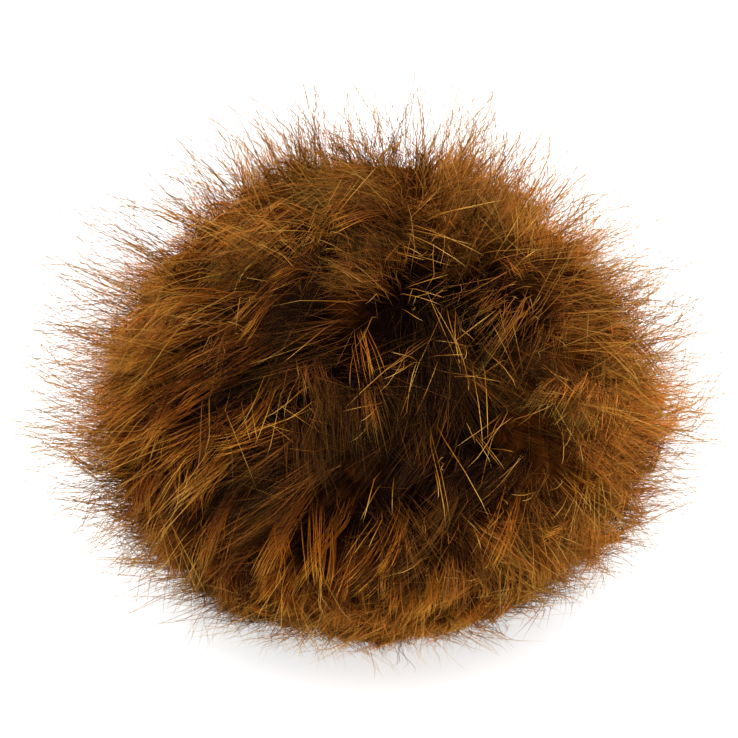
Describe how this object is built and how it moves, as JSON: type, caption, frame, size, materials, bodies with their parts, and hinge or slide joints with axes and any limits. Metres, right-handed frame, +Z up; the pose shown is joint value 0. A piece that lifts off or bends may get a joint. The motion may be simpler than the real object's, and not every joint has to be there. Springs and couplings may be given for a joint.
{
  "type": "fur pom pom",
  "caption": "Round ball of long, soft dyed fur with loose guard hairs, resting on a small flattened underside.",
  "frame": {"origin": "on the surface the ball stands on, under the middle of its box", "axes": "+Z up from the flat spot to the crown, -Y the side where the fur parts, +X to that side's right"},
  "size_m": [0.1378, 0.1362, 0.1007],
  "materials": {
    "dyed_fur": "soft, with a silky sheen on the longer hairs"
  },
  "bodies": {
    "root": {"fur_ball": "dyed_fur"}
  },
  "joints": []
}
